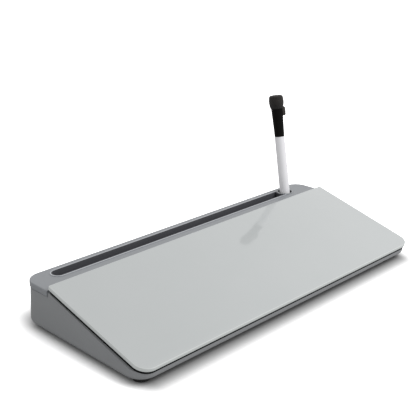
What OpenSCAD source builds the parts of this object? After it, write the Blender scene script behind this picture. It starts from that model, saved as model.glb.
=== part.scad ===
// Magnetic glass whiteboard easel for a desk: a sloped glass board on a hollow wedge base,
// a rail behind it with a leaning slot for tablets, and a capped marker in its own cup.
// Origin: middle of the whole object's box, on the desk. +Z up, +Y towards the rail,
// board slopes to -Y.

/* [Board] */
// Width of the glass board
glass_w = 406; // [320:1:500]
// Length of the glass board, measured up its slope
glass_len = 138; // [120:1:170]
// Thickness of the glass
glass_t = 4; // [3:0.5:6]
// Radius of the two front corners of the glass
glass_front_r = 14; // [6:1:24]
// Radius of the two rear corners of the glass
glass_rear_r = 2.5; // [1.5:0.5:8]
// Width of the ground arris on the edges of the glass
glass_arris = 0.8; // [0.3:0.1:1.2]
// Slope of the board in degrees
board_slope = 15; // [11:0.5:19]
// Thickness of the steel sheet that makes the board magnetic
steel_t = 0.6; // [0.4:0.1:1.2]
// Distance from the edge of the glass to the edge of the steel sheet
steel_inset = 4; // [2:0.5:10]
// Thickness of the foam tape under the steel sheet
tape_t = 1.8; // [0.6:0.1:2]
// Width of the foam tape
tape_w = 12; // [8:1:20]
// Distance from the edge of the glass, or of the deck, to the edge of the foam tape
tape_inset = 1; // [0.5:0.5:6]

/* [Base] */
// How far the foot of the base stands out past the glass on each side
side_margin = 2.6; // [1:0.1:4]
// How far the glass hangs over the front wall of the base
glass_overhang = 2.6; // [1:0.1:5]
// Height of the front wall of the base
front_wall_h = 6.8; // [6:0.2:12]
// Thickness of the walls
wall_t = 2.4; // [1.8:0.1:3]
// Thickness of the deck that carries the glass
deck_t = 2.4; // [1.8:0.1:3]
// Plan radius of the corners of the base
corner_r = 18.5; // [12:0.5:18.5]
// Radius of the rounded bottom edge of the base
edge_r = 4.5; // [2:0.5:5]
// How far the walls lean in towards their top
wall_draft = 2.3; // [0.5:0.1:2.6]
// Depth of the stiffening ribs under the deck
rib_h = 6; // [3:0.5:8]
// Thickness of the stiffening ribs
rib_t = 1.6; // [1:0.1:2]
// Thickness of the bottom cover
cover_t = 2; // [1.6:0.1:3]

/* [Rail] */
// Depth of the rail behind the glass
rail_d = 41.8; // [38:0.2:50]
// Height of the side band of the rail cap
cap_h = 7; // [6:0.5:9]
// Thickness of the top of the rail cap
cap_t = 2.2; // [1.8:0.1:3]
// How far the rail cap stands above the rear end of the deck
cap_rise = 2; // [1.2:0.1:2.4]
// How far the rail cap is set in from the foot of the base
cap_inset = 1.3; // [0.8:0.1:1.8]
// Width of the device slot
slot_w = 12.8; // [10:0.2:16]
// Depth of the device slot below the rail
slot_depth = 25; // [16:0.5:26]
// Angle at which devices and the marker lean back
lean = 9.2; // [4:0.1:12]
// Distance from the left side of the base to the left end of the slot
slot_left_gap = 26.5; // [20:0.5:60]
// Distance from the rear of the base to the middle of the slot
slot_rear_gap = 16.8; // [16:0.1:19]
// Width of the raised bead around the collar of the slot insert
bead_w = 1.4; // [1:0.1:2.4]
// Height of the raised bead around the slot
bead_h = 0.5; // [0.3:0.1:1]
// Thickness of the collar of the slot insert, seen around the slot
collar_t = 0.9; // [0.7:0.1:1.2]
// Wall thickness of the slot insert
well_t = 1.6; // [1.2:0.1:2]
// Thickness of the soft strip in the slot
pad_t = 1.2; // [0.8:0.1:2]
// Distance from the right side of the base to the middle of the marker cup
cup_right_gap = 39.5; // [26:0.5:60]
// Inner diameter of the mouth of the marker cup
cup_mouth_d = 17.2; // [15:0.1:18]
// Width of the rim of the marker cup
cup_rim_w = 1.6; // [1.4:0.1:2.4]
// Height of the rim of the marker cup above the rail
cup_rim_h = 0.8; // [0.5:0.1:1.5]

/* [Marker] */
// Diameter of the marker at its rear end
marker_d = 12.4; // [11:0.1:13]
// Diameter of the barrel where it meets the cap
barrel_top_d = 12; // [9:0.1:12.4]
// Length of the barrel from its rear end to the cap
barrel_len = 94; // [80:1:110]
// Depth at which the marker stands in its cup
stand_depth = 24.5; // [18:0.5:25]
// Length of the flared part of the cap
cap_cone_h = 34.3; // [28:0.5:42]
// Diameter of the cap at its open end
cap_mouth_d = 12; // [10:0.1:12.6]
// Diameter of the cap under the eraser
cap_top_d = 14.2; // [11.5:0.1:15]
// Diameter of the felt eraser
eraser_d = 16.9; // [15:0.1:20]
// Height of the felt eraser
eraser_h = 15.5; // [12:0.5:22]
// Height of the magnet block on the side of the cap
magnet_block_h = 9; // [7:0.5:12]
// How far the magnet block stands out from the cap
magnet_block_out = 1.5; // [1.4:0.1:3]
// Direction of the magnet block, turned about the marker from the right-hand side
magnet_turn = -45; // [-180:5:180]

/* [Feet and screws] */
// Diameter of the rubber feet
foot_d = 16; // [12:0.5:16]
// Height of the feet under the base
foot_h = 5; // [2:0.1:6]
// Depth of the recess that holds each foot
foot_recess = 0.6; // [0.3:0.1:1]
// Distance from the left side of the base to the left feet
foot_left_gap = 15.5; // [15.5:0.5:60]
// Distance from the right side of the base to the right feet
foot_right_gap = 34.5; // [15.5:0.5:60]
// Distance from the front and rear of the base to the feet
foot_end_gap = 15.5; // [15.5:0.5:30]
// Diameter of the screws
screw_d = 3; // [2.5:0.1:3.5]
// Length of the screws
screw_len = 8; // [7:0.5:9]

/* [Hidden] */
$fn = 64;

// Colours
shell_grey = [0.56, 0.575, 0.585];
well_black = [0.20, 0.20, 0.21];
board_white = [0.78, 0.80, 0.79];
steel_grey = [0.55, 0.56, 0.57];
rubber_black = [0.07, 0.07, 0.07];
barrel_white = [0.88, 0.88, 0.91];
cap_black = [0.06, 0.06, 0.06];
felt_black = [0.17, 0.15, 0.145];

// Clearances
gap = 0.3;
seam = 0.4;
eps = 0.01;
far = 1000;

// Base outline and heights
base_w = glass_w + 2 * side_margin;
base_d = rail_d + glass_len * cos(board_slope) - glass_overhang;
head_round = 2.6;
head_waist = 0.5;
head_height = barrel_len - stand_depth + cap_cone_h + eraser_h;
head_reach = head_round + (head_height - head_round) * sin(lean)
    + (eraser_d / 2 - head_waist - head_round) * cos(lean);
rear_reach = max(0, head_reach - slot_rear_gap);
whole_d = rail_d + glass_len * cos(board_slope) - glass_arris * sin(board_slope) + rear_reach;
base_rear_y = whole_d / 2 - rear_reach;
base_front_y = base_rear_y - base_d;
rail_front_y = base_rear_y - rail_d;
base_z = foot_h;
cover_top_z = base_z + cover_t;
function deck_z(y) = base_z + front_wall_h + (y - base_front_y) * tan(board_slope);
deck_drop = deck_t / cos(board_slope);
deck_rear_z = deck_z(rail_front_y);
rail_z = deck_rear_z + cap_rise;
cap_seat_z = rail_z - cap_h;
cap_under_z = rail_z - cap_t;
board_stack = glass_t + steel_t + tape_t;
glass_rear_z = deck_rear_z + board_stack / cos(board_slope);
stack_shift = board_stack * tan(board_slope);
tape_front_inset = glass_overhang / cos(board_slope) - stack_shift + tape_inset;
tape_rear_inset = stack_shift + tape_inset;

// Cover seat
cover_lip = 0.5;
cover_inset = edge_r + cover_lip;
ledge_w = 3.5;
ledge_t = 1.6;
foot_pad_h = 1.2;
rib_low_z = cover_top_z + foot_pad_h + gap;

// Slot and cup
slot_y = base_rear_y - slot_rear_gap;
slot_left_x = -base_w / 2 + slot_left_gap;
cup_x = base_w / 2 - cup_right_gap;
cup_bore_r = cup_mouth_d / 2;
cup_rim_r = cup_bore_r + cup_rim_w;
cup_collar_r = cup_rim_r - 0.7;
ring_play = 0.1;
cup_floor_t = 1.6;
socket_len = 12;
socket_r = marker_d / 2 + gap;
well_len_t = well_t + pad_t;

// Rail cap details
cap_top_soft = 1;
cap_skirt_in = 0.9;
cap_lip_t = 1.2;
cap_lip_h = 2.5;
boss_r = 3.2;
rail_boss_y = rail_front_y + seam + cap_t + boss_r + 0.6;
shelf_t = 2.4;
shelf_half = screw_d + gap + rib_t;
shelf_gusset = 9;
shelf_z = cap_seat_z - 1.5;
rail_screw_x = [for (i = [-2:2]) i * base_w * 0.22];

// Feet, with the front ones first
foot_places = [
    [-base_w / 2 + foot_left_gap, base_front_y + foot_end_gap],
    [base_w / 2 - foot_right_gap, base_front_y + foot_end_gap],
    [-base_w / 2 + foot_left_gap, base_rear_y - foot_end_gap],
    [base_w / 2 - foot_right_gap, base_rear_y - foot_end_gap]];

// Screws
pilot_r = screw_d / 2;
head_r = screw_d;
head_h = 1.7;
head_play = 0.1;
screw_boss_r = pilot_r + 2;
front_screw_y = base_front_y + 21;
mid_screw_y = rail_front_y - wall_t - screw_boss_r + 0.2;
rear_screw_y = base_rear_y - cover_inset - gap - head_r - 1;
cover_screw_places = concat(
    [for (i = [-1:1]) [i * base_w * 0.3, front_screw_y]],
    [for (i = [-1, 1]) [i * base_w * 0.16, mid_screw_y]],
    [for (i = [-1:1]) [i * base_w * 0.36, rear_screw_y]]);

// Marker lengths, measured up its axis from the top of the rail
barrel_low = -stand_depth;
barrel_edge = barrel_len - stand_depth;
neck_r = cap_mouth_d / 2 - 1.15;
neck_h = 10;
bore_r = neck_r - 0.9;
plug_t = 3;
plug_spigot = 6;
nib_r = 2.2;
holder_h = 9;
nib_out = 6;
neck_top = barrel_edge + neck_h;
nib_tip = neck_top + holder_h + nib_out;
cap_top = barrel_edge + cap_cone_h;
head_top = barrel_low + barrel_len + cap_cone_h + eraser_h;
post_r = 4;
post_h = 11;
seal_low = neck_top + 1;
magnet_r = 2.4;
magnet_t = 1;
magnet_block_w = 7;

// A rectangle with round corners, kept as true arcs
module rounded_rect(w, d, r) {
    square([w - 2 * r, d], center = true);
    square([w, d - 2 * r], center = true);
    for (sx = [-1, 1], sy = [-1, 1])
        translate([sx * (w / 2 - r), sy * (d / 2 - r)]) circle(r);
}

// A straight slot with two round ends
module stadium(x0, x1, w) {
    translate([x0 + w / 2, -w / 2]) square([x1 - x0 - w, w]);
    translate([x0 + w / 2, 0]) circle(d = w);
    translate([x1 - w / 2, 0]) circle(d = w);
}

// The plan of the base, drawn in by a given distance
module base_plan(inset) {
    translate([0, (base_front_y + base_rear_y) / 2])
        rounded_rect(base_w - 2 * inset, base_d - 2 * inset, max(corner_r - inset, 1.5));
}

// One thin layer of the base at a height
module base_layer(z, inset) {
    translate([0, 0, z]) linear_extrude(eps) base_plan(inset);
}

// The drafted outside form of the base with its round bottom edge, drawn in by a wall
module base_form(inset) {
    hull() {
        for (a = [0:22.5:90])
            base_layer(base_z + edge_r * (1 - cos(a)), inset + edge_r * (1 - sin(a)), $fn = 48);
        base_layer(rail_z, inset + wall_draft, $fn = 48);
    }
}

// A side view in Y and Z, drawn out to the full width of the base
module across(width) {
    translate([-width / 2, 0, 0]) rotate([90, 0, 90]) linear_extrude(width) children();
}

// Everything under the deck and under the seat of the rail cap
module under_deck_profile(drop) {
    polygon([
        [base_front_y - 10, 0],
        [base_front_y - 10, deck_z(base_front_y - 10) - drop],
        [rail_front_y, deck_rear_z - drop],
        [rail_front_y, 0]]);
}

// The frame of the sloped board: Z is square to the glass and 0 at its top face
module on_slope() {
    translate([0, rail_front_y, glass_rear_z]) rotate([board_slope, 0, 0]) children();
}

// The frame of the leaning slot: Z runs up the lean, with 0 at the top of the rail
module on_lean(x) {
    translate([x, slot_y, rail_z]) rotate([-lean, 0, 0]) children();
}

// A screw that points up, with its head's lower face at Z = 0
module screw_up(head_r1, head_r2) {
    cylinder(h = head_h, r1 = head_r1, r2 = head_r2);
    translate([0, 0, head_h - eps]) cylinder(h = screw_len - head_h + eps, r = pilot_r);
}

// Crossed stiffening ribs that hang from the deck
module deck_ribs() {
    intersection() {
        across(base_w - 2 * wall_t - 2 * wall_draft) difference() {
            under_deck_profile(deck_drop - eps);
            under_deck_profile(deck_drop + rib_h / cos(board_slope));
        }
        union() {
            for (i = [-4:4]) translate([i * base_w / 10 - rib_t / 2, -far / 2, rib_low_z])
                cube([rib_t, far, far]);
            for (j = [1:3]) translate([-far / 2,
                base_front_y + j * (rail_front_y - base_front_y) / 4 - rib_t / 2,
                rib_low_z]) cube([far, rib_t, far]);
        }
        base_form(wall_t - eps);
    }
}

// The cross wall at the rear end of the deck, with five windows
module cross_wall() {
    intersection() {
        difference() {
            translate([-base_w / 2, rail_front_y - wall_t, cover_top_z + gap])
                cube([base_w, wall_t, deck_rear_z - deck_drop - cover_top_z]);
            for (x = rail_screw_x) translate([x - base_w * 0.06, rail_front_y - far / 2,
                cover_top_z + 8]) cube([base_w * 0.12, far, shelf_z - cover_top_z - 16]);
        }
        base_form(wall_t - eps);
    }
}

// Small shelves on the cross wall that the rail cap is screwed to
module rail_shelves() {
    reach = rail_boss_y + boss_r - rail_front_y;
    for (x = rail_screw_x) {
        translate([x - shelf_half, rail_front_y - eps, shelf_z - shelf_t])
            cube([2 * shelf_half, reach, shelf_t]);
        for (left = [x - shelf_half, x + shelf_half - rib_t])
            translate([left, rail_front_y - eps, 0]) rotate([90, 0, 90]) linear_extrude(rib_t) polygon([
                [0, shelf_z - shelf_t + eps], [reach - rib_t, shelf_z - shelf_t + eps],
                [0, shelf_z - shelf_t - shelf_gusset]]);
    }
}

// Bosses that the bottom cover is screwed to
module cover_bosses() {
    for (p = cover_screw_places) {
        top_z = p[1] > rail_front_y ? cover_top_z + screw_len + 3 : deck_z(p[1]) - deck_drop + 0.5;
        translate([p[0], p[1], cover_top_z]) cylinder(h = top_z - cover_top_z, r = screw_boss_r);
        if (p[1] > rail_front_y) translate([p[0] - rib_t / 2, p[1], cover_top_z])
            cube([rib_t, base_rear_y - wall_t / 2 - edge_r / 4 - p[1], top_z - cover_top_z]);
    }
}

module base_housing() {
    color(shell_grey) difference() {
        union() {
            difference() {
                intersection() {
                    base_form(0);
                    across(base_w) union() {
                        under_deck_profile(0);
                        translate([rail_front_y - eps, 0]) square([rail_d + 10, cap_seat_z]);
                    }
                }
                intersection() {
                    base_form(wall_t);
                    across(base_w) union() {
                        under_deck_profile(deck_drop);
                        translate([rail_front_y - eps, 0]) square([rail_d + 10, far]);
                    }
                }
            }
            deck_ribs();
            cross_wall();
            rail_shelves();
            cover_bosses();
            translate([0, 0, cover_top_z]) linear_extrude(ledge_t) difference() {
                base_plan(wall_t / 2 + edge_r / 4);
                base_plan(cover_inset + ledge_w);
            }
        }
        translate([0, 0, base_z - 1]) linear_extrude(cover_t + 1) base_plan(cover_inset);
        for (p = cover_screw_places) translate([p[0], p[1], cover_top_z - eps])
            cylinder(h = screw_len - cover_t + 0.8, r = pilot_r + 0.02);
        for (x = rail_screw_x) translate([x, rail_boss_y, shelf_z - shelf_t - 1])
            cylinder(h = shelf_t + 2, r = pilot_r + gap);
    }
}

// One thin layer of the rail cap
module cap_layer(z, inset) {
    translate([0, 0, z]) linear_extrude(eps) base_plan(cap_inset + inset);
}

module rail_cap() {
    cap_front_y = rail_front_y + seam;
    collar_cut = collar_t + ring_play;
    color(shell_grey) difference() {
        union() {
            intersection() {
                difference() {
                    hull() {
                        cap_layer(cap_seat_z, cap_skirt_in, $fn = 48);
                        cap_layer(cap_seat_z + 1.6, 0, $fn = 48);
                        cap_layer(rail_z - cap_top_soft, 0, $fn = 48);
                        cap_layer(rail_z - cap_top_soft * 0.3, cap_top_soft * 0.3, $fn = 48);
                        cap_layer(rail_z - eps, cap_top_soft, $fn = 48);
                    }
                    translate([0, 0, cap_seat_z - 1]) linear_extrude(cap_h - cap_t + 1)
                        base_plan(cap_inset + cap_t);
                }
                translate([-far / 2, cap_front_y, 0]) cube([far, far, far]);
            }
            translate([-base_w / 2 + cap_inset + cap_t / 2, cap_front_y, cap_seat_z])
                cube([base_w - 2 * cap_inset - cap_t, cap_t, cap_h - cap_t + eps]);
            intersection() {
                translate([0, 0, cap_seat_z - cap_lip_h])
                    linear_extrude(cap_h - cap_t + cap_lip_h + eps) difference() {
                        base_plan(wall_t + wall_draft + gap);
                        base_plan(wall_t + wall_draft + gap + cap_lip_t);
                    }
                translate([-far / 2, cap_front_y + 2 * cap_t, 0]) cube([far, far, far]);
            }
            for (x = rail_screw_x) translate([x, rail_boss_y, shelf_z])
                cylinder(h = cap_under_z - shelf_z + eps, r = boss_r);
            translate([0, slot_y, rail_z - eps]) linear_extrude(bead_h + eps)
                stadium(slot_left_x - collar_t - bead_w, cup_x, slot_w + 2 * collar_t + 2 * bead_w);
        }
        translate([0, slot_y, cap_under_z - 1]) linear_extrude(cap_t + 3) difference() {
            stadium(slot_left_x - collar_cut, cup_x + slot_w / 2, slot_w + 2 * collar_cut);
            translate([cup_x, 0]) circle(cup_rim_r);
        }
        translate([cup_x, slot_y, cap_under_z - 1]) cylinder(h = cap_t + 1 + eps, r = cup_collar_r + ring_play);
        translate([cup_x, slot_y, rail_z]) cylinder(h = cap_t, r = cup_rim_r + ring_play);
        for (x = rail_screw_x) translate([x, rail_boss_y, shelf_z - eps])
            cylinder(h = screw_len - shelf_t - head_h + 1, r = pilot_r + 0.02);
    }
}

// Half of all space below a height, used to trim leaning parts
module below(z) {
    translate([-far / 2, -far / 2, z - far]) cube([far, far, far]);
}

module device_well() {
    cup_keep = cup_collar_r + 0.6;
    lip_room = slot_rear_gap - slot_w / 2 - wall_t - wall_draft - cap_lip_t - 2 * gap;
    flange_w = min(3, lip_room);
    flange_t = 1.2;
    color(well_black) difference() {
        union() {
            intersection() {
                on_lean(0) translate([0, 0, -slot_depth - well_len_t])
                    linear_extrude(slot_depth + well_len_t + 5)
                        stadium(slot_left_x - well_t, cup_x, slot_w + 2 * well_t);
                below(cap_under_z);
            }
            translate([0, slot_y, cap_under_z - flange_t]) linear_extrude(flange_t)
                stadium(slot_left_x - flange_w, cup_x, slot_w + 2 * flange_w);
            translate([0, slot_y, cap_under_z - eps]) linear_extrude(cap_t + bead_h + eps) difference() {
                stadium(slot_left_x - collar_t, cup_x, slot_w + 2 * collar_t);
                translate([cup_x, 0]) circle(cup_rim_r + ring_play);
            }
        }
        on_lean(0) translate([0, 0, -slot_depth - pad_t]) linear_extrude(far) difference() {
            stadium(slot_left_x, cup_x, slot_w);
            translate([cup_x, 0]) circle(cup_keep + well_t);
        }
        on_lean(cup_x) translate([0, 0, -slot_depth - 10]) cylinder(h = far, r = cup_keep);
        translate([cup_x, -far / 2, 0]) cube([far, far, far]);
    }
}

module well_grip_pad() {
    color(rubber_black) on_lean(0) translate([0, 0, -slot_depth - pad_t]) linear_extrude(pad_t)
        difference() {
            stadium(slot_left_x + gap, cup_x, slot_w - 2 * gap);
            translate([cup_x, 0]) circle(cup_collar_r + 0.6 + well_t + gap);
        }
}

module marker_cup() {
    cup_depth = stand_depth + cup_floor_t;
    funnel_low = -stand_depth + socket_len;
    color(well_black) difference() {
        union() {
            translate([cup_x, slot_y, cap_under_z - 2]) cylinder(h = cap_t + 2, r = cup_collar_r);
            intersection() {
                on_lean(cup_x) translate([0, 0, -cup_depth]) cylinder(h = cup_depth, r = cup_collar_r);
                below(cap_under_z);
            }
        }
        translate([cup_x, slot_y, rail_z - 1]) cylinder(h = 3, r = cup_bore_r);
        on_lean(cup_x) translate([0, 0, funnel_low]) cylinder(h = -funnel_low, r1 = socket_r, r2 = cup_bore_r);
        on_lean(cup_x) translate([0, 0, -stand_depth]) cylinder(h = socket_len + eps, r = socket_r);
    }
}

// The grey ring bonded on around the mouth of the marker cup
module cup_ring() {
    color(shell_grey) translate([cup_x, slot_y, rail_z]) difference() {
        cylinder(h = cup_rim_h, r = cup_rim_r);
        translate([0, 0, -1]) cylinder(h = cup_rim_h + 2, r = cup_bore_r);
    }
}

// The plan of the glass: small radii at the rear and large ones at the front
module glass_plan(inset) {
    for (s = [-1, 1]) {
        translate([s * (glass_w / 2 - glass_front_r), -glass_len + glass_front_r])
            circle(glass_front_r - inset);
        translate([s * (glass_w / 2 - glass_rear_r), -glass_rear_r]) circle(glass_rear_r - inset);
    }
}

module glass_board() {
    color(board_white) on_slope() hull() for (k = [
        [-glass_t, glass_arris], [-glass_t + glass_arris, 0],
        [-glass_arris, 0], [-eps, glass_arris]])
        translate([0, 0, k[0]]) linear_extrude(eps) glass_plan(k[1]);
}

module steel_backing_sheet() {
    color(steel_grey) on_slope() translate([0, -glass_len / 2, -glass_t - steel_t])
        linear_extrude(steel_t)
            rounded_rect(glass_w - 2 * steel_inset, glass_len - 2 * steel_inset, glass_front_r - 2);
}

module foam_tape_frame() {
    outer_w = glass_w - 2 * tape_inset;
    outer_len = glass_len - tape_front_inset - tape_rear_inset;
    inner_w = outer_w - 2 * tape_w;
    inner_len = outer_len - 2 * tape_w;
    color(rubber_black) on_slope() translate([0, -tape_rear_inset - outer_len / 2, -board_stack])
        linear_extrude(tape_t) {
            difference() {
                rounded_rect(outer_w, outer_len, glass_front_r - 1);
                rounded_rect(inner_w, inner_len, 2);
            }
            for (i = [-1:1]) translate([i * inner_w / 4 - tape_w / 2, -inner_len / 2 - 1])
                square([tape_w, inner_len + 2]);
        }
}

module bottom_cover() {
    color(shell_grey) difference() {
        union() {
            translate([0, 0, base_z]) linear_extrude(cover_t) base_plan(cover_inset + gap);
            for (p = foot_places) translate([p[0], p[1], base_z + cover_t - eps])
                intersection() {
                    cylinder(h = foot_pad_h, r = foot_d / 2 + 1);
                    translate([-p[0], -p[1], 0]) linear_extrude(far)
                        base_plan(cover_inset + ledge_w + gap);
                }
        }
        for (p = foot_places) translate([p[0], p[1], base_z - eps])
            cylinder(h = foot_recess + eps, r = foot_d / 2 + 0.1);
        for (p = cover_screw_places) translate([p[0], p[1], base_z - eps]) {
            cylinder(h = head_h + eps, r1 = head_r + head_play, r2 = pilot_r + head_play);
            cylinder(h = cover_t + 1, r = pilot_r + head_play);
        }
    }
}

// A rubber foot with a slightly domed wear face
module foot(i) {
    top_z = base_z + foot_recess;
    soft = 0.6;
    color(rubber_black) translate([foot_places[i][0], foot_places[i][1], 0]) rotate_extrude()
        polygon([[0, 0], [foot_d / 2 - soft, 0], [foot_d / 2, soft], [foot_d / 2, top_z], [0, top_z]]);
}

module foot_front_left() { foot(0); }
module foot_front_right() { foot(1); }
module foot_rear_left() { foot(2); }
module foot_rear_right() { foot(3); }

module cover_screws() {
    color(steel_grey) for (p = cover_screw_places) translate([p[0], p[1], base_z])
        screw_up(head_r, pilot_r);
}

module rail_screws() {
    color(steel_grey) for (x = rail_screw_x) translate([x, rail_boss_y, shelf_z - shelf_t - head_h])
        screw_up(head_r, head_r);
}

module marker_barrel() {
    color(barrel_white) on_lean(cup_x) rotate_extrude() polygon([
        [bore_r, barrel_low + plug_t], [marker_d / 2, barrel_low + plug_t],
        [marker_d / 2, barrel_low + 30], [barrel_top_d / 2, barrel_edge - 0.4],
        [barrel_top_d / 2 - 0.4, barrel_edge], [neck_r, barrel_edge],
        [neck_r, neck_top], [bore_r, neck_top]]);
}

module marker_end_plug() {
    soft = 0.8;
    color(barrel_white) on_lean(cup_x) rotate_extrude() polygon([
        [0, barrel_low], [marker_d / 2 - soft, barrel_low], [marker_d / 2, barrel_low + soft],
        [marker_d / 2, barrel_low + plug_t], [bore_r - 0.02, barrel_low + plug_t],
        [bore_r - 0.02, barrel_low + plug_t + plug_spigot], [0, barrel_low + plug_t + plug_spigot]]);
}

module ink_reservoir() {
    low = barrel_low + plug_t + plug_spigot;
    color([0.85, 0.85, 0.82]) on_lean(cup_x) translate([0, 0, low])
        cylinder(h = neck_top - 2 - low, r = bore_r - 0.1);
}

module nib_holder() {
    color(barrel_white) on_lean(cup_x) rotate_extrude() polygon([
        [nib_r, neck_top - 2], [bore_r - 0.02, neck_top - 2], [bore_r - 0.02, neck_top],
        [neck_r - 0.4, neck_top], [nib_r + 1, neck_top + holder_h], [nib_r, neck_top + holder_h]]);
}

module marker_nib() {
    color(felt_black) on_lean(cup_x) rotate_extrude() polygon(concat(
        [[0, neck_top - 2], [nib_r - 0.02, neck_top - 2]],
        [for (a = [0:15:90]) [(nib_r - 0.02) * cos(a), nib_tip - nib_r + nib_r * sin(a)]]));
}

// Outside radius of the flared cap at a height above its mouth
function cap_r(h) = cap_mouth_d / 2 + (cap_top_d - cap_mouth_d) / 2 * pow(h / cap_cone_h, 1.3);

module marker_cap() {
    steps = 8;
    grip_r = neck_r + 0.05;
    color(cap_black) on_lean(cup_x) rotate_extrude() polygon(concat(
        [[grip_r, barrel_edge + gap / 3], [cap_mouth_d / 2 - 0.3, barrel_edge + gap / 3]],
        [for (i = [0:steps]) let (h = 0.3 + (cap_cone_h - 0.3) * i / steps) [cap_r(h), barrel_edge + h]],
        [[post_r, cap_top], [post_r, cap_top + post_h], [0, cap_top + post_h],
         [0, cap_top - 2.5], [grip_r, cap_top - 2.5]]));
}

module cap_inner_seal() {
    color([0.8, 0.8, 0.78]) on_lean(cup_x) rotate_extrude() polygon([
        [neck_r - 0.35, seal_low], [neck_r, seal_low], [neck_r, cap_top - 2.5],
        [0, cap_top - 2.5], [0, nib_tip + 1.5], [nib_r + 0.6, nib_tip + 1.5],
        [nib_r + 1.3, neck_top + holder_h], [neck_r - 0.35, seal_low + 1]]);
}

module magnet_holder() {
    block_z = cap_top - magnet_block_h / 2 - 0.2;
    in_r = cap_r(cap_cone_h - magnet_block_h / 2);
    color(cap_black) on_lean(cup_x) rotate([0, 0, magnet_turn]) difference() {
        translate([0, -magnet_block_w / 2, block_z - magnet_block_h / 2])
            cube([in_r + magnet_block_out, magnet_block_w, magnet_block_h]);
        rotate_extrude() polygon(concat([[0, barrel_edge]],
            [for (i = [0:8]) let (h = cap_cone_h * i / 8) [cap_r(h) + 0.01, barrel_edge + h]],
            [[cap_r(cap_cone_h) + 0.01, head_top], [0, head_top]]));
        translate([in_r + magnet_block_out - magnet_t, 0, block_z]) rotate([0, 90, 0])
            cylinder(h = magnet_t + 1, r = magnet_r + 0.02);
    }
}

module cap_magnet() {
    block_z = cap_top - magnet_block_h / 2 - 0.2;
    in_r = cap_r(cap_cone_h - magnet_block_h / 2);
    color(steel_grey) on_lean(cup_x) rotate([0, 0, magnet_turn])
        translate([in_r + magnet_block_out - magnet_t, 0, block_z]) rotate([0, 90, 0])
            cylinder(h = magnet_t - 0.2, r = magnet_r);
}

module eraser_felt() {
    half = eraser_d / 2;
    low_r = cap_top_d / 2 + 0.35;
    color(felt_black) on_lean(cup_x) difference() {
        rotate_extrude() polygon(concat(
            [[0, cap_top], [low_r, cap_top]],
            [for (t = [1:5]) [low_r + (half - low_r) * sin(18 * t), cap_top + eraser_h * 0.11 * t]],
            [for (a = [0:15:90]) [half - head_waist - head_round * (1 - cos(a)),
                head_top - head_round * (1 - sin(a))]],
            [[0, head_top]]));
        translate([0, 0, cap_top - 1]) cylinder(h = post_h + 1, r = post_r + 0.02);
    }
}

base_housing();
rail_cap();
device_well();
well_grip_pad();
marker_cup();
cup_ring();
glass_board();
steel_backing_sheet();
foam_tape_frame();
bottom_cover();
foot_front_left();
foot_front_right();
foot_rear_left();
foot_rear_right();
cover_screws();
rail_screws();
marker_barrel();
marker_end_plug();
ink_reservoir();
nib_holder();
marker_nib();
marker_cap();
cap_inner_seal();
magnet_holder();
cap_magnet();
eraser_felt();
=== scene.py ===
import math

import bmesh
import bpy
from mathutils import Matrix, Vector


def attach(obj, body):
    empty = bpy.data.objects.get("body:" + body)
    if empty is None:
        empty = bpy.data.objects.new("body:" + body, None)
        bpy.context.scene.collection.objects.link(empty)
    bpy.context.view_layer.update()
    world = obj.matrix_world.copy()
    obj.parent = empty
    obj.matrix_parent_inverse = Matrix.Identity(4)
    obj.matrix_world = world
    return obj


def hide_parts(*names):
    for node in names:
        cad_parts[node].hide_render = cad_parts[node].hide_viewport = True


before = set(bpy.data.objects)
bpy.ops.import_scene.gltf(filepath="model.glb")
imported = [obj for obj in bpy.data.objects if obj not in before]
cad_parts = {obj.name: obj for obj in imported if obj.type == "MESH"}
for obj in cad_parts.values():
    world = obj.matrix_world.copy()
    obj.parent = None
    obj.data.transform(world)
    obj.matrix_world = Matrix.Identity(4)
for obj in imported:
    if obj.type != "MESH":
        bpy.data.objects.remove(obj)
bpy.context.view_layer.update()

# ---------------------------------------------------------------- camera and studio
# The easel stands on white paper under one large soft lamp, in even light from all round.
# The camera looks down on it from the front left, through a long lens.
CAMERA_PLACE = Vector((-0.60209, -0.56719, 0.39276))
CAMERA_TURN = math.radians(45.05)
CAMERA_DIP = math.radians(20.24)
CAMERA_LENS, CAMERA_SENSOR = 73.53, 36
KEY_PLACE = Vector((0.6, -0.85, 1.05))
KEY_SIZE, KEY_POWER = 1.2, 9.9

# The air lights with less than the white that it shows, and gloss mirrors a share of it.
AIR_LIGHT, AIR_IN_GLOSS = 0.6, 0.8
# The paper's colour in the light that it returns, and how bright the camera sees it.
PAPER_SIZE, PAPER_COLOUR, PAPER_SEEN = 8, 0.6, 2.4
# The base's outline on the paper: half its box, up to the centres of its round corners.
FOOTPRINT_MIDDLE = (0, -0.0037, 0)
FOOTPRINT_HALF = (0.1871, 0.0678, 1)
FOOTPRINT_ROUND = 0.0185
# A contact shadow is painted on the paper: darker near that outline, fading with the distance,
# sooner at the two ends.
SHADOW_SHAPE = (1.7, 1, 0)
SHADOW_START, SHADOW_REACH, SHADOW_DEEP = -0.0114, 0.038, 0.1


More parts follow.
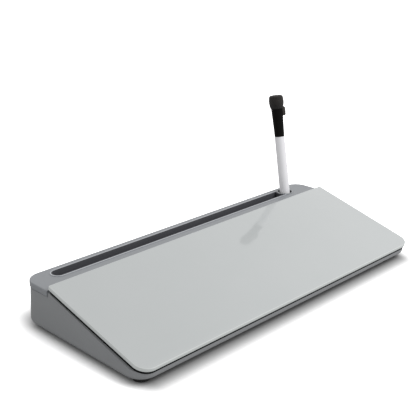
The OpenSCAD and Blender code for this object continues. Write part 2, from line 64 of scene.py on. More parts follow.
class Wire:
    """A node's output. Sums with it add the Math nodes that they need."""

    def __init__(self, tree, socket=None):
        self.tree, self.socket = tree, socket

    def node(self, kind, settings=None, sockets=None, out=0):
        """Adds any node: its settings first, then the values or wires of its sockets."""
        node = self.tree.nodes.new("ShaderNode" + kind)
        for key, value in (settings or {}).items():
            if key == "stops":
                stops = node.color_ramp.elements
                while len(stops) < len(value):
                    stops.new(1)
                for stop, (place, shade) in zip(stops, value):
                    stop.position, stop.color = place, shade
            else:
                setattr(node, key, value)
        for key, value in (sockets or {}).items():
            if isinstance(value, Wire):
                self.tree.links.new(value.socket, node.inputs[key])
            else:
                node.inputs[key].default_value = value
        return Wire(self.tree, node.outputs[out])

    def into(self, socket):
        """Ends in a socket of the shader or of the output."""
        self.tree.links.new(self.socket, socket)

    def noise(self, scale, detail, **others):
        """Noise over this place."""
        return self.node("TexNoise", None,
                         {"Vector": self, "Scale": scale, "Detail": detail, **others})

    def vector(self, operation, other=(0, 0, 0), out=0):
        """One step of Vector Math on this vector."""
        return self.node("VectorMath", {"operation": operation}, {0: self, 1: other}, out)

    def blend(self, low, high):
        """From one colour to the other as this value goes from 0 to 1."""
        return self.node("Mix", {"data_type": "RGBA"}, {0: self, 6: low, 7: high}, out=2)

    def sum(self, operation, first, second):
        """One Math node. Either side may be a plain number."""
        return self.node("Math", {"operation": operation}, {0: first, 1: second})

    def __add__(self, other):
        return self.sum("ADD", self, other)

    __radd__ = __add__

    def __sub__(self, other):
        return self.sum("SUBTRACT", self, other)

    def __mul__(self, other):
        return self.sum("MULTIPLY", self, other)

    __rmul__ = __mul__

    def __truediv__(self, other):
        return self.sum("DIVIDE", self, other)


def rgb(red, green, blue):
    """A colour from its everyday 0 to 255 values."""
    def linear(part):
        part /= 255
        return part / 12.92 if part <= 0.04045 else ((part + 0.055) / 1.055) ** 2.4
    return (linear(red), linear(green), linear(blue), 1)


scene = bpy.context.scene
scene.view_settings.view_transform = "Standard"

looking = Vector((math.sin(CAMERA_TURN) * math.cos(CAMERA_DIP),
                  math.cos(CAMERA_TURN) * math.cos(CAMERA_DIP), -math.sin(CAMERA_DIP)))
bpy.ops.object.camera_add(location=CAMERA_PLACE,
                          rotation=looking.to_track_quat("-Z", "Y").to_euler())
scene.camera = bpy.context.object
scene.camera.data.sensor_width = CAMERA_SENSOR
scene.camera.data.lens = CAMERA_LENS

bpy.ops.object.light_add(type="AREA", location=KEY_PLACE,
                         rotation=(-KEY_PLACE).to_track_quat("-Z", "Y").to_euler())
key_lamp = bpy.context.object
key_lamp.name = "key_lamp"
key_lamp.data.shape = "DISK"
key_lamp.data.size = KEY_SIZE
key_lamp.data.energy = KEY_POWER

scene.world = bpy.data.worlds.new("studio_air")
scene.world.use_nodes = True
scene.world.node_tree.nodes.clear()
air = Wire(scene.world.node_tree)
seen_straight, seen_in_gloss, seen_through = (
    air.node("LightPath", out="Is %s Ray" % ray) for ray in ("Camera", "Glossy", "Transmission"))
white_air = air.node("Math", {"operation": "MAXIMUM", "use_clamp": True},
                     {0: seen_straight + seen_through, 1: seen_in_gloss * AIR_IN_GLOSS})
air_glow = air.node("Background", None,
                    {"Color": (1, 1, 1, 1), "Strength": white_air * (1 - AIR_LIGHT) + AIR_LIGHT})
air_end = scene.world.node_tree.nodes.new("ShaderNodeOutputWorld")
air_glow.into(air_end.inputs["Surface"])

bpy.ops.object.select_all(action="DESELECT")
bpy.ops.mesh.primitive_plane_add(size=PAPER_SIZE, location=(0, 0, 0))
table_top = bpy.context.object
table_top.name = "table_top"
table_paper = bpy.data.materials.new("table_paper")
table_paper.use_nodes = True
table_paper.node_tree.nodes.clear()
paper = Wire(table_paper.node_tree)
paper_seen = paper.node("LightPath", out="Is Camera Ray")
from_base = paper.node("TexCoord", out="Object").vector("SUBTRACT", FOOTPRINT_MIDDLE)
from_base = from_base.vector("ABSOLUTE").vector("SUBTRACT", FOOTPRINT_HALF).vector("MAXIMUM")
from_base = from_base.vector("MULTIPLY", SHADOW_SHAPE).vector("LENGTH", out="Value")
# Painted shadow: the paper is painted darker near the base's outline.
painted_shadow_fade = paper.node("MapRange", {"interpolation_type": "SMOOTHSTEP"},
                        {0: from_base - FOOTPRINT_ROUND, 1: SHADOW_START, 2: SHADOW_REACH,
                         3: SHADOW_DEEP, 4: 1.0})
paper_level = paper_seen * (painted_shadow_fade * PAPER_SEEN - PAPER_COLOUR) + PAPER_COLOUR
paper_colour = paper.node("CombineColor", None, {0: paper_level, 1: paper_level, 2: paper_level})
paper_matt = paper.node("BsdfDiffuse", None, {"Color": paper_colour})
paper_end = table_paper.node_tree.nodes.new("ShaderNodeOutputMaterial")
paper_matt.into(paper_end.inputs["Surface"])
table_top.data.materials.append(table_paper)


# ---------------------------------------------------------------- base housing
# The wedge that carries everything: one injection moulding in grey ABS, with drafted
# walls, round corners and a spark-eroded satin grain.
SHELL_GREY = rgb(145, 147, 149)
# The flow clouds of a moulding, and how far clouds, grain and a painted highlight band change its
# gloss.
CLOUD_SCALE, CLOUD_TINT = 14.0, 0.05
CLOUD_GLOSS, GRAIN_GLOSS, HIGHLIGHT_GLOSS = 0.08, 0.06, 0.12


def finish(name, **fixed):
    """A material, its shader and the place on the piece. Fixed values go on the shader itself."""
    material = bpy.data.materials.new(name)
    material.use_nodes = True
    shader = material.node_tree.nodes["Principled BSDF"]
    for socket, value in fixed.items():
        shader.inputs[socket.replace("_", " ")].default_value = value
    return material, shader, Wire(material.node_tree).node("TexCoord", out="Object")


def tinted(colour, share):
    """A colour with a share of its light, up to white."""
    return tuple(min(1, part * share) for part in colour[:3]) + (1,)


def roughen(shader, height, depth):
    """Raises the pattern of a surface by a depth in metres."""
    height.node("Bump", None, {"Strength": 1.0, "Distance": depth, "Height": height}).into(
        shader.inputs["Normal"])


def moulded(name, colour, roughness, grain_size=0.0003, grain_depth=0.00002, painted_highlight=None, **fixed):
    """Moulded plastic or rubber: a fine even grain, and faint clouds where the melt flowed. Between
    the two heights of a painted highlight band it is painted paler as a highlight, and made
    smoother."""
    material, shader, place = finish(name, **fixed)
    clouds = place.noise(scale=CLOUD_SCALE, detail=3.0)
    grain = place.noise(scale=1 / grain_size, detail=2.0)
    shade = clouds.blend(tinted(colour, 1 - CLOUD_TINT), tinted(colour, 1 + CLOUD_TINT))
    gloss = (clouds * CLOUD_GLOSS + grain * GRAIN_GLOSS
             + (roughness - (CLOUD_GLOSS + GRAIN_GLOSS) / 2))
    # The painted highlight band: a paler colour between two heights.
    if painted_highlight:
        low, high, highlight_colour = painted_highlight
        height = place.node("SeparateXYZ", None, {0: place}, out=2)
        highlight_mask = place.node("MapRange", {"clamp": True}, {0: height, 1: low, 2: high})
        shade = highlight_mask.blend(shade, highlight_colour)
        gloss = gloss - highlight_mask * HIGHLIGHT_GLOSS
    shade.into(shader.inputs["Base Color"])
    gloss.into(shader.inputs["Roughness"])
    roughen(shader, grain, grain_depth)
    return material


def dress(node, material):
    """Gives a carried-over solid its finish."""
    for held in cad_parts[node].material_slots:
        held.material = material


dress("base_housing", moulded("shell_plastic", SHELL_GREY, roughness=0.42))


# ---------------------------------------------------------------- rail cap
# The lid over the rear of the base, moulded in the same grey, screwed from inside. A thin
# bead runs round the slot, its crest painted paler as a highlight, and a dark seam shows where it
# meets the deck.
RAIL_TOP = 0.04882
BEAD_FOOT, BEAD_CREST = RAIL_TOP + 0.0001, RAIL_TOP + 0.0004
RAIL_GREY, BEAD_HIGHLIGHT_GREY = rgb(144, 147, 151), rgb(190, 193, 198)
# The bead's crest is painted paler: a painted highlight.
dress("rail_cap", moulded("rail_plastic", RAIL_GREY, roughness=0.38,
                          painted_highlight=(BEAD_FOOT, BEAD_CREST, BEAD_HIGHLIGHT_GREY)))


# ---------------------------------------------------------------- slot insert and strip
# A charcoal trough clipped under the rail cap, with a collar that rises through it. In its
# bottom lies a ribbed rubber strip that keeps what stands in it from sliding.
SLOT_LINE = 0.065776
LEAN = math.radians(9.2)
STRIP_LEFT, STRIP_RIGHT = -0.1788, 0.1539
STRIP_LOW, STRIP_HIGH = -0.0262, -0.0255
STRIP_WIDTH, STRIP_CORNER = 0.0122, 0.005978
STRIP_RIBS, RIB_HEIGHT = 7, 0.0005
WELL_CHARCOAL, STRIP_BLACK = rgb(74, 75, 80), rgb(30, 30, 31)
# Two measures that differ by less than this are the same.
TOUCH = 1e-6
on_lean = Matrix.Translation((0, SLOT_LINE, RAIL_TOP)) @ Matrix.Rotation(-LEAN, 4, "X")
dress("device_well", moulded("well_plastic", WELL_CHARCOAL, roughness=0.5))


def pick(kind, test):
    """Selects, in edit mode, the vertices, edges or faces that pass a test."""
    bpy.ops.mesh.select_mode(type=kind)
    bpy.ops.mesh.select_all(action="DESELECT")
    mesh = bpy.context.object.data
    shape = bmesh.from_edit_mesh(mesh)
    for part in {"VERT": shape.verts, "EDGE": shape.edges, "FACE": shape.faces}[kind]:
        part.select_set(bool(test(part)))
    bmesh.update_edit_mesh(mesh)


def middle(edge):
    """The middle of an edge."""
    return (edge.verts[0].co + edge.verts[1].co) / 2


def span(edge):
    """How far an edge runs along each axis."""
    return Vector([abs(part) for part in edge.verts[0].co - edge.verts[1].co])


def block(name, low, high):
    """A box between two corners that is about to be shaped, open in edit mode."""
    low, high = Vector(low), Vector(high)
    bpy.ops.object.select_all(action="DESELECT")
    bpy.ops.mesh.primitive_cube_add(size=1, location=(low + high) / 2, scale=high - low)
    piece = bpy.context.object
    piece.name = name
    bpy.ops.object.transform_apply(location=True, rotation=True, scale=True)
    bpy.ops.object.mode_set(mode="EDIT")
    return piece


def settle(piece, material, body, replaced=(), place=None, smooth=35):
    """Ends the shaping: puts the piece in its place, with its finish and body, and hides the parts
    that it replaces.
    """
    if bpy.context.mode == "EDIT_MESH":
        bpy.ops.mesh.select_all(action="SELECT")
        bpy.ops.mesh.normals_make_consistent(inside=False)
        bpy.ops.object.mode_set(mode="OBJECT")
    if place is not None:
        piece.data.transform(place)
    bpy.ops.object.shade_smooth_by_angle(angle=math.radians(smooth))
    if not piece.data.materials:
        piece.data.materials.append(material)
    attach(piece, body)
    if replaced:
        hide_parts(*replaced)


grip_strip = block("slot_grip_strip", (STRIP_LEFT, -STRIP_WIDTH / 2, STRIP_LOW),
                   (STRIP_RIGHT, STRIP_WIDTH / 2, STRIP_HIGH))
pick("EDGE", lambda e: span(e).z > TOUCH and middle(e).x < 0)
bpy.ops.mesh.bevel(offset=STRIP_CORNER, segments=8, affect="EDGES")
strip_pitch = STRIP_WIDTH / (2 * STRIP_RIBS + 1)
for cut in range(1, 2 * STRIP_RIBS + 1):
    bpy.ops.mesh.select_all(action="SELECT")
    bpy.ops.mesh.bisect(plane_co=(0, cut * strip_pitch - STRIP_WIDTH / 2, 0), plane_no=(0, 1, 0))
pick("FACE", lambda f: f.normal.z > 0.9
     and int((f.calc_center_median().y + STRIP_WIDTH / 2) / strip_pitch) % 2 == 1)
bpy.ops.mesh.extrude_region_move(TRANSFORM_OT_translate={"value": (0, 0, RIB_HEIGHT)})
settle(grip_strip,
       moulded("strip_rubber", STRIP_BLACK, roughness=0.75, grain_size=0.0006, grain_depth=0.00004),
       "base", ["well_grip_pad"], on_lean)


# ---------------------------------------------------------------- marker cup
# A round charcoal socket pressed into the rail cap from above, and a thin grey ring bonded
# on around its mouth.
RING_RADIUS, RING_WIDTH, RING_HEIGHT, RING_EDGE = 0.0102, 0.0016, 0.0008, 0.00025
SOCKET_BLACK, RING_GREY = rgb(44, 44, 46), rgb(150, 154, 157)
CUP_MIDDLE = 0.1661
in_cup = Matrix.Translation((CUP_MIDDLE, SLOT_LINE, RAIL_TOP))
dress("marker_cup", moulded("socket_plastic", SOCKET_BLACK, roughness=0.5))


def turned(name, rings, sides):
    """A turned form, drawn up ring by ring from a disc. Each ring is a radius and a height."""
    radius, height = rings[0]
    bpy.ops.object.select_all(action="DESELECT")
    bpy.ops.mesh.primitive_circle_add(vertices=sides, radius=radius, fill_type="NGON",
                                      location=(0, 0, height))
    piece = bpy.context.object
    piece.name = name
    bpy.ops.object.transform_apply(location=True)
    bpy.ops.object.mode_set(mode="EDIT")
    bpy.ops.mesh.select_all(action="SELECT")
    for next_radius, next_height in rings[1:]:
        bpy.ops.mesh.extrude_region_move(
            TRANSFORM_OT_translate={"value": (0, 0, next_height - height)})
        growth = next_radius / radius
        bpy.ops.transform.resize(value=(growth, growth, 1), center_override=(0, 0, next_height))
        radius, height = next_radius, next_height
    return piece


cup_ring = turned("cup_trim_ring", [(RING_RADIUS, 0), (RING_RADIUS, RING_HEIGHT)], sides=96)
pick("FACE", lambda f: abs(f.normal.z) > 0.9)
bpy.ops.mesh.inset(thickness=RING_WIDTH, use_even_offset=False)
bpy.ops.mesh.bridge_edge_loops()
pick("EDGE", lambda e: middle(e).z > RING_HEIGHT - TOUCH
     and abs(e.verts[0].co.length - e.verts[1].co.length) < TOUCH)
bpy.ops.mesh.bevel(offset=RING_EDGE, segments=3, affect="EDGES")
settle(cup_ring, moulded("ring_plastic", RING_GREY, roughness=0.34),
       "base", ["cup_ring"], in_cup, smooth=50)


# ---------------------------------------------------------------- glass board
# A tempered plate, painted pale grey on its back, with ground and polished edges. Foam
# tape and a steel sheet hold it on the deck.
BOARD_SLOPE = math.radians(15)
BOARD_REAR = Vector((0, 0.040776, 0.053446))
GLASS_WIDTH, GLASS_LENGTH, GLASS_THICKNESS = 0.406, 0.138, 0.004
FRONT_CORNER, REAR_CORNER, ARRIS = 0.014, 0.0025, 0.0008
PAINT_GREY, BLOOM_GREY = rgb(195, 199, 199), rgb(202, 205, 205)
POLISHED, WIPED, GROUND, GROUND_GRAIN = 0.05, 0.12, 0.34, 0.12
# The edge's painted light and shade by height, from the paint up to the arris: painted shade at the
# paint, a pale painted glow through the middle, a little painted shade under the top.
EDGE_PAINTED_LIGHT = ((0.0, rgb(150, 158, 158)), (0.12, rgb(218, 223, 222)),
               (0.7, rgb(220, 224, 223)), (0.9, rgb(210, 214, 213)))
on_slope = Matrix.Translation(BOARD_REAR) @ Matrix.Rotation(BOARD_SLOPE, 4, "X")


def round_corners(half_width, half_way, inset, segments):
    """Rounds a board's upright corners, wide at the front and tight at the rear."""
    for corner, at_front in ((FRONT_CORNER, True), (REAR_CORNER, False)):
        pick("EDGE", lambda e: span(e).z > TOUCH
             and (middle(e).y < half_way) == at_front
             and abs(middle(e).x) > half_width - TOUCH)
        bpy.ops.mesh.bevel(offset=corner - inset, segments=segments, affect="EDGES")


glass_plate = block("glass_plate", (-GLASS_WIDTH / 2, -GLASS_LENGTH, -GLASS_THICKNESS),
                    (GLASS_WIDTH / 2, 0, 0))
round_corners(GLASS_WIDTH / 2, -GLASS_LENGTH / 2, inset=0, segments=16)
pick("EDGE", lambda e: span(e).z < TOUCH
     and len(e.link_faces) == 2
     and any(abs(f.normal.z) < 0.5 for f in e.link_faces)
     and any(abs(f.normal.z) > 0.5 for f in e.link_faces))
bpy.ops.mesh.bevel(offset=ARRIS, segments=3, affect="EDGES")


def painted_glass():
    """Clear glass over pale grey paint: a hard gloss with the faint bloom of wiped-off ink."""
    material, shader, place = finish("board_glass", IOR=1.5)
    bloom = place.noise(scale=9.0, detail=4.0, Roughness=0.6)
    wiped = place.node("Mapping", None,
                       {"Vector": place, "Rotation": (0, 0, 0.35), "Scale": (18, 120, 120)})
    streaks = wiped.noise(scale=1.0, detail=2.0)
    bloom.blend(PAINT_GREY, BLOOM_GREY).into(shader.inputs["Base Color"])
    (bloom * streaks * WIPED + POLISHED).into(shader.inputs["Roughness"])
    return material


def ground_edge():
    """The edge of the plate: ground glass with painted light, a pale glow through the middle, and
    painted shade at the paint and just under the top.
    """
    material, shader, place = finish("glass_edge", IOR=1.5)
    up = (0, -math.sin(BOARD_SLOPE), math.cos(BOARD_SLOPE))
    bottom = Vector(up).dot(BOARD_REAR) - GLASS_THICKNESS
    level = (place.vector("DOT_PRODUCT", up, out="Value") - bottom) / GLASS_THICKNESS
    # Painted light and shade on the edge, by height across it.
    place.node("ValToRGB", {"stops": EDGE_PAINTED_LIGHT}, {"Fac": level}).into(
        shader.inputs["Base Color"])
    grinding = place.noise(scale=1800.0, detail=2.0)
    (grinding * GROUND_GRAIN + GROUND).into(shader.inputs["Roughness"])
    return material


bpy.ops.object.mode_set(mode="OBJECT")
glass_plate.data.materials.append(painted_glass())
glass_plate.data.materials.append(ground_edge())
for face in glass_plate.data.polygons:
    face.material_index = 0 if face.normal.z > 0.98 else 1
settle(glass_plate, None, "base", ["glass_board"], on_slope)


# ---------------------------------------------------------------- steel sheet and tape
# A bare steel sheet behind the glass makes the board magnetic. The black foam tape that
# holds both is cut as a frame with three cross strips, and shows as a thin dark line.
STEEL_GREY, TAPE_BLACK = rgb(176, 179, 182), rgb(7, 7, 8)
SHEET_BRUSHED = (40, 3000, 3000)
LINE_SHADE, LINE_GLOSS = 0.8, 0.2
TAPE_HALF, TAPE_FRONT, TAPE_REAR = 0.2023, -0.1373, -0.002715
TAPE_LOW, TAPE_TOP, TAPE_WIDTH = -0.0064, -0.0046, 0.012
TAPE_INSET, TAPE_JOINT, TAPE_EDGE = 0.0007, 0.0001, 0.0003


def brushed(name, colour, roughness, along):
    """Bare metal with a fine brushed grain. Along is how fine it is in x, y and z."""
    material, shader, place = finish(name, Metallic=1.0)
    drawn = place.node("Mapping", None, {"Vector": place, "Scale": along})
    lines = drawn.noise(scale=1.0, detail=3.0)
    lines.blend(tinted(colour, LINE_SHADE), colour).into(shader.inputs["Base Color"])
    (lines * LINE_GLOSS + roughness).into(shader.inputs["Roughness"])
    return material


dress("steel_backing_sheet",
      brushed("sheet_steel", STEEL_GREY, roughness=0.28, along=SHEET_BRUSHED))

foam_tape = block("foam_tape", (-TAPE_HALF, TAPE_FRONT, TAPE_LOW),
                  (TAPE_HALF, TAPE_REAR, TAPE_TOP))
round_corners(TAPE_HALF, (TAPE_FRONT + TAPE_REAR) / 2, inset=TAPE_INSET, segments=10)
pick("FACE", lambda f: abs(f.normal.z) > 0.9)
bpy.ops.mesh.inset(thickness=TAPE_WIDTH)
bpy.ops.mesh.bridge_edge_loops()
bpy.ops.object.mode_set(mode="OBJECT")
strip_front, strip_rear = TAPE_FRONT + TAPE_WIDTH + TAPE_JOINT, TAPE_REAR - TAPE_WIDTH - TAPE_JOINT
for side in (-1, 0, 1):
    across = side * (TAPE_HALF - TAPE_WIDTH) / 2
    block("foam_cross_strip", (across - TAPE_WIDTH / 2, strip_front, TAPE_LOW),
          (across + TAPE_WIDTH / 2, strip_rear, TAPE_TOP))
    pick("EDGE", lambda e: span(e).y > TAPE_WIDTH)
    bpy.ops.mesh.bevel(offset=TAPE_EDGE, segments=2, affect="EDGES")
    bpy.ops.object.mode_set(mode="OBJECT")
    foam_tape.select_set(True)
    bpy.context.view_layer.objects.active = foam_tape
    bpy.ops.object.join()
settle(foam_tape,
       moulded("tape_foam", TAPE_BLACK, roughness=0.9, grain_size=0.0005, grain_depth=0.00008,
               Specular_IOR_Level=0.2),
       "base", ["foam_tape_frame"], on_slope)


# ---------------------------------------------------------------- bottom cover and screws
# A flat moulded cover closes the hollow base, held by eight countersunk steel screws with
# a square drive. They are zinc plated, like the screws that hold the rail cap from inside.
COVER_GREY = rgb(136, 139, 142)
COVER_BOTTOM = 0.005
SCREW_BRUSHED = (900, 900, 900)
# The rings of a screw, from the face of its head up to its point.
SCREW_RINGS = ((0.00279, 0), (0.003, 0.0002), (0.0015, 0.0017), (0.0015, 0.007), (0.0006, 0.008))
SCREW_PLACES = ((-0.12336, -0.06892), (0, -0.06892), (0.12336, -0.06892),
                (-0.06579, 0.03508), (0.06579, 0.03508),
                (-0.14803, 0.07328), (0, 0.07328), (0.14803, 0.07328))
SCREW_TURN = 0.7
DRIVE_HALF, DRIVE_DEPTH = 0.0015, 0.001
dress("bottom_cover", moulded("cover_plastic", COVER_GREY, roughness=0.5))
screw_zinc = brushed("screw_zinc", STEEL_GREY, roughness=0.25, along=SCREW_BRUSHED)
dress("rail_screws", screw_zinc)

drive_cutter = block("drive_cutter", (-DRIVE_HALF, -DRIVE_HALF, -DRIVE_DEPTH),
                     (DRIVE_HALF, DRIVE_HALF, DRIVE_DEPTH))
bpy.ops.object.mode_set(mode="OBJECT")
first_screw = turned("cover_screw_1", SCREW_RINGS, sides=32)
bpy.ops.mesh.select_all(action="SELECT")
bpy.ops.mesh.normals_make_consistent(inside=False)
bpy.ops.object.mode_set(mode="OBJECT")
recess = first_screw.modifiers.new("square_drive", "BOOLEAN")
recess.object = drive_cutter
recess.solver = "EXACT"
bpy.ops.object.modifier_apply(modifier="square_drive")
bpy.data.objects.remove(drive_cutter)
cover_screws = [first_screw]
for number in range(1, len(SCREW_PLACES)):
    copied = first_screw.copy()
    copied.data = first_screw.data.copy()
    copied.name = "cover_screw_%d" % (number + 1)
    bpy.context.collection.objects.link(copied)
    cover_screws.append(copied)
for number, (screw, (across, along)) in enumerate(zip(cover_screws, SCREW_PLACES)):
    bpy.ops.object.select_all(action="DESELECT")
    screw.select_set(True)
    bpy.context.view_layer.objects.active = screw
    turn = Matrix.Rotation(number * SCREW_TURN, 4, "Z")
    settle(screw, screw_zinc, "base", ["cover_screws"],
           Matrix.Translation((across, along, COVER_BOTTOM)) @ turn)


# ---------------------------------------------------------------- rubber feet
# Four black rubber discs with a soft lower edge and a shallow dish, glued into recesses of
# the cover.
FOOT_BLACK = rgb(26, 26, 27)
FOOT_RADIUS, FOOT_TOP, FOOT_EDGE, FOOT_EDGE_MIDDLE = 0.008, 0.0056, 0.0006, 0.00018
FOOT_RIM, FOOT_SLOPE, FOOT_DISH = 0.0014, 0.0005, 0.0004
FOOT_PLACES = {"front_left": (-0.1901, -0.07442), "front_right": (0.1711, -0.07442),
               "rear_left": (-0.1901, 0.067076), "rear_right": (0.1711, 0.067076)}
foot_rubber = moulded("foot_rubber", FOOT_BLACK, roughness=0.7, grain_size=0.0005,
                      grain_depth=0.00004)
for corner, (across, along) in FOOT_PLACES.items():
    foot = turned("rubber_foot_" + corner, [
        (FOOT_RADIUS - FOOT_EDGE, 0), (FOOT_RADIUS - FOOT_EDGE_MIDDLE, FOOT_EDGE_MIDDLE),
        (FOOT_RADIUS, FOOT_EDGE), (FOOT_RADIUS, FOOT_TOP)], sides=64)
    pick("FACE", lambda f: f.calc_center_median().z < TOUCH)
    bpy.ops.mesh.inset(thickness=FOOT_RIM)
    bpy.ops.mesh.inset(thickness=FOOT_SLOPE)
    bpy.ops.transform.translate(value=(0, 0, FOOT_DISH))
    settle(foot, foot_rubber, "base", ["foot_" + corner],
           Matrix.Translation((across, along, 0)), smooth=40)


# ---------------------------------------------------------------- marker
# A slim dry-wipe marker: barrel and end plug moulded in white polypropylene, a fibre wick
# inside, and a firm felt nib, black with ink.
BARREL_WHITE, WICK_WHITE, NIB_BLACK = rgb(250, 249, 254), rgb(225, 224, 218), rgb(30, 30, 32)
NIB_RADIUS, NIB_LOW, NIB_SHOULDER, NIB_TIP, NIB_STEPS = 0.00218, 0.0775, 0.0905, 0.0945, 10
barrel_plastic = moulded("barrel_plastic", BARREL_WHITE, roughness=0.24, grain_size=0.0009,
                         grain_depth=0.000006)
for node in ("marker_barrel", "marker_end_plug", "nib_holder"):
    dress(node, barrel_plastic)
dress("ink_reservoir",
      moulded("wick_fibre", WICK_WHITE, roughness=0.9, grain_size=0.0004, grain_depth=0.00008))

in_marker = in_cup @ Matrix.Rotation(-LEAN, 4, "X")
nib_rings = [(NIB_RADIUS, NIB_LOW), (NIB_RADIUS, NIB_SHOULDER)]
for step in range(NIB_STEPS):
    angle = math.pi / 2 * step / NIB_STEPS
    nib_rings.append((NIB_RADIUS * math.cos(angle), NIB_TIP - NIB_RADIUS * (1 - math.sin(angle))))
marker_nib = turned("felt_nib", nib_rings, sides=40)
settle(marker_nib,
       moulded("nib_felt", NIB_BLACK, roughness=0.9, grain_size=0.0003, grain_depth=0.00006),
       "marker", ["marker_nib"], in_marker, smooth=60)


# ---------------------------------------------------------------- cap
# A glossy black moulding that flares upwards and grips the neck of the barrel. A soft pale
# plug pressed into it seals the nib.
CAP_BLACK, SEAL_WHITE = rgb(7, 5, 4), rgb(222, 221, 214)
dress("marker_cap", moulded("cap_plastic", CAP_BLACK, roughness=0.32, grain_size=0.001,
                            grain_depth=0.000006, Specular_IOR_Level=0.1))
dress("cap_inner_seal", moulded("seal_plastic", SEAL_WHITE, roughness=0.45))


# ---------------------------------------------------------------- magnet block
# A small dark block moulded on the side of the cap, with a raised face. The nickel-plated
# disc magnet glued into it holds the marker on the glass.
BLOCK_DARK, NICKEL_GREY = rgb(44, 39, 36), rgb(120, 117, 112)
BLOCK_INNER, BLOCK_OUTER, BLOCK_WIDTH = 0.00625, 0.0095, 0.0066
BLOCK_LOW, BLOCK_HIGH = 0.0947, 0.1049
BLOCK_FRAME, BLOCK_FACE, BLOCK_EDGE = 0.0009, 0.0004, 0.0004
MAGNET_RINGS = ((0.0024, -0.0009), (0.0024, -0.00015), (0.0022, 0))
MAGNET_FACE = BLOCK_OUTER + 0.0005
MAGNET_BRUSHED = (700, 700, 700)
BLOCK_TURN = math.radians(-45)
on_cap_side = in_marker @ Matrix.Rotation(BLOCK_TURN, 4, "Z")
in_block = on_cap_side @ Matrix.Translation((MAGNET_FACE, 0, (BLOCK_LOW + BLOCK_HIGH) / 2))

magnet_block = block("magnet_block", (BLOCK_INNER, -BLOCK_WIDTH / 2, BLOCK_LOW),
                     (BLOCK_OUTER, BLOCK_WIDTH / 2, BLOCK_HIGH))
pick("FACE", lambda f: f.normal.x > 0.9)
bpy.ops.mesh.inset(thickness=BLOCK_FRAME)
bpy.ops.mesh.extrude_region_move(TRANSFORM_OT_translate={"value": (BLOCK_FACE, 0, 0)})
pick("EDGE", lambda e: middle(e).x > BLOCK_INNER + TOUCH)
bpy.ops.mesh.bevel(offset=BLOCK_EDGE, segments=3, affect="EDGES")
settle(magnet_block, moulded("block_plastic", BLOCK_DARK, roughness=0.5),
       "cap", ["magnet_holder"], on_cap_side, smooth=40)

magnet_disc = turned("magnet_disc", MAGNET_RINGS, sides=48)
settle(magnet_disc, brushed("magnet_nickel", NICKEL_GREY, roughness=0.3, along=MAGNET_BRUSHED),
       "cap", ["cap_magnet"], in_block @ Matrix.Rotation(math.pi / 2, 4, "Y"))


# ---------------------------------------------------------------- felt eraser
# A bell of dense black felt, pressed and glued over the post on top of the cap. Wiping has
# matted its sides and worn its upper edge round.
FELT_DEEP, FELT_PALE = rgb(10, 8, 7), rgb(41, 37, 34)
# The radii at the foot, where it is widest and where the round edge begins, with their
# heights and that of the top. The flat top is drawn in through rings of their own radii.
FELT_WAIST, FELT_RADIUS, FELT_SHOULDER = 0.0077, 0.009, 0.0085
FELT_LOW, FELT_WIDEST, FELT_BEND, FELT_TOP = 0.1038, 0.112325, 0.116665, 0.1193
FELT_ROUND = 0.0026
FELT_FLAT = (0.0045475, 0.003745, 0.0029425, 0.00214, 0.0013375, 0.000535)
SIDE_STEPS, SHOULDER_STEPS, ROUND_STEPS = 20, 6, 8
POST_RADIUS, POST_HEIGHT = 0.00402, 0.011
# Each layer of loose fibres: its name, size and height. The middle height stays in place.
FUZZ_LAYERS = (("felt_lumps", 0.0018, 0.0003), ("felt_fuzz", 0.0006, 0.00025))
FUZZ_MIDDLE = 0.6
# How much of the pattern comes from fibres and tufts, and where between them pale begins.
FIBRE_SHARE, TUFT_SHARE, PATTERN_DEEP, PATTERN_PALE, FIBRE_DEPTH = 0.7, 0.4, 0.25, 0.8, 0.00025
# The felt is painted darker towards its foot, with painted shade under the bell and ink gathered
# there: the share of pale left at the foot, and the height above it where all is pale.
FOOT_SHADE_AND_INK, SHADE_AND_INK_HEIGHT = 0.15, 0.009

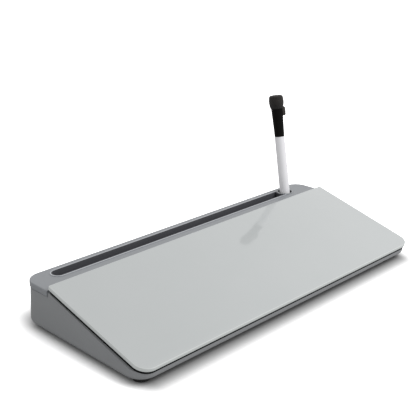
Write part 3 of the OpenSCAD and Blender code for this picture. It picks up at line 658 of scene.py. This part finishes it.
felt_rings = [(FELT_WAIST, FELT_LOW)]
for step in range(1, SIDE_STEPS + 1):
    angle = math.pi / 2 * step / SIDE_STEPS
    felt_rings.append((FELT_WAIST + (FELT_RADIUS - FELT_WAIST) * math.sin(angle),
                       FELT_LOW + (FELT_WIDEST - FELT_LOW) * step / SIDE_STEPS))
for step in range(1, SHOULDER_STEPS + 1):
    share = step / SHOULDER_STEPS
    felt_rings.append((FELT_RADIUS - (FELT_RADIUS - FELT_SHOULDER) * share,
                       FELT_WIDEST + (FELT_BEND - FELT_WIDEST) * share))
for step in range(1, ROUND_STEPS + 1):
    angle = math.pi / 2 * step / ROUND_STEPS
    felt_rings.append((FELT_SHOULDER - FELT_ROUND * (1 - math.cos(angle)),
                       FELT_TOP - FELT_ROUND * (1 - math.sin(angle))))
felt_rings += [(radius, FELT_TOP) for radius in FELT_FLAT]
felt_eraser = turned("felt_eraser", felt_rings, sides=112)
bpy.ops.mesh.select_all(action="SELECT")
bpy.ops.mesh.normals_make_consistent(inside=False)
pick("FACE", lambda f: f.normal.z < -0.9 and len(f.verts) > 8)
bpy.ops.mesh.inset(thickness=FELT_WAIST - POST_RADIUS, use_even_offset=False)
bpy.ops.mesh.extrude_region_move(TRANSFORM_OT_translate={"value": (0, 0, POST_HEIGHT)})
bpy.ops.object.mode_set(mode="OBJECT")
for layer, fibre_size, fibre_height in FUZZ_LAYERS:
    fibres = bpy.data.textures.new(layer, "CLOUDS")
    fibres.noise_scale = fibre_size
    fuzz = felt_eraser.modifiers.new(layer, "DISPLACE")
    fuzz.texture, fuzz.strength, fuzz.mid_level = fibres, fibre_height, FUZZ_MIDDLE
    bpy.ops.object.modifier_apply(modifier=layer)


def felted(name, deep, pale):
    """Dense dyed felt: matted fibres, paler where they stand up, with a soft sheen. Towards its
    foot it is painted darker, with painted shade and ink.
    """
    material, shader, place = finish(name, Sheen_Weight=0.08, Sheen_Roughness=0.6, Roughness=0.95)
    fibres = place.noise(scale=2600.0, detail=4.0, Distortion=1.5)
    tufts = place.node("TexVoronoi", None, {"Vector": place, "Scale": 900.0})
    matted = place.node("MapRange", {"clamp": True},
                        {0: fibres * FIBRE_SHARE + tufts * TUFT_SHARE,
                         1: PATTERN_DEEP, 2: PATTERN_PALE})
    along = in_marker.to_3x3() @ Vector((0, 0, 1))
    height = place.vector("DOT_PRODUCT", along, out="Value")
    foot = along.dot(in_marker.translation) + FELT_LOW
    # Painted shade towards the foot of the felt, with ink gathered there.
    foot_shade_and_ink = place.node("MapRange", {"clamp": True},
                       {0: height, 1: foot, 2: foot + SHADE_AND_INK_HEIGHT, 3: FOOT_SHADE_AND_INK, 4: 1.0})
    (matted * foot_shade_and_ink).blend(deep, pale).into(shader.inputs["Base Color"])
    roughen(shader, matted, FIBRE_DEPTH)
    return material


settle(felt_eraser, felted("eraser_felt", FELT_DEEP, FELT_PALE),
       "cap", ["eraser_felt"], in_marker, smooth=80)
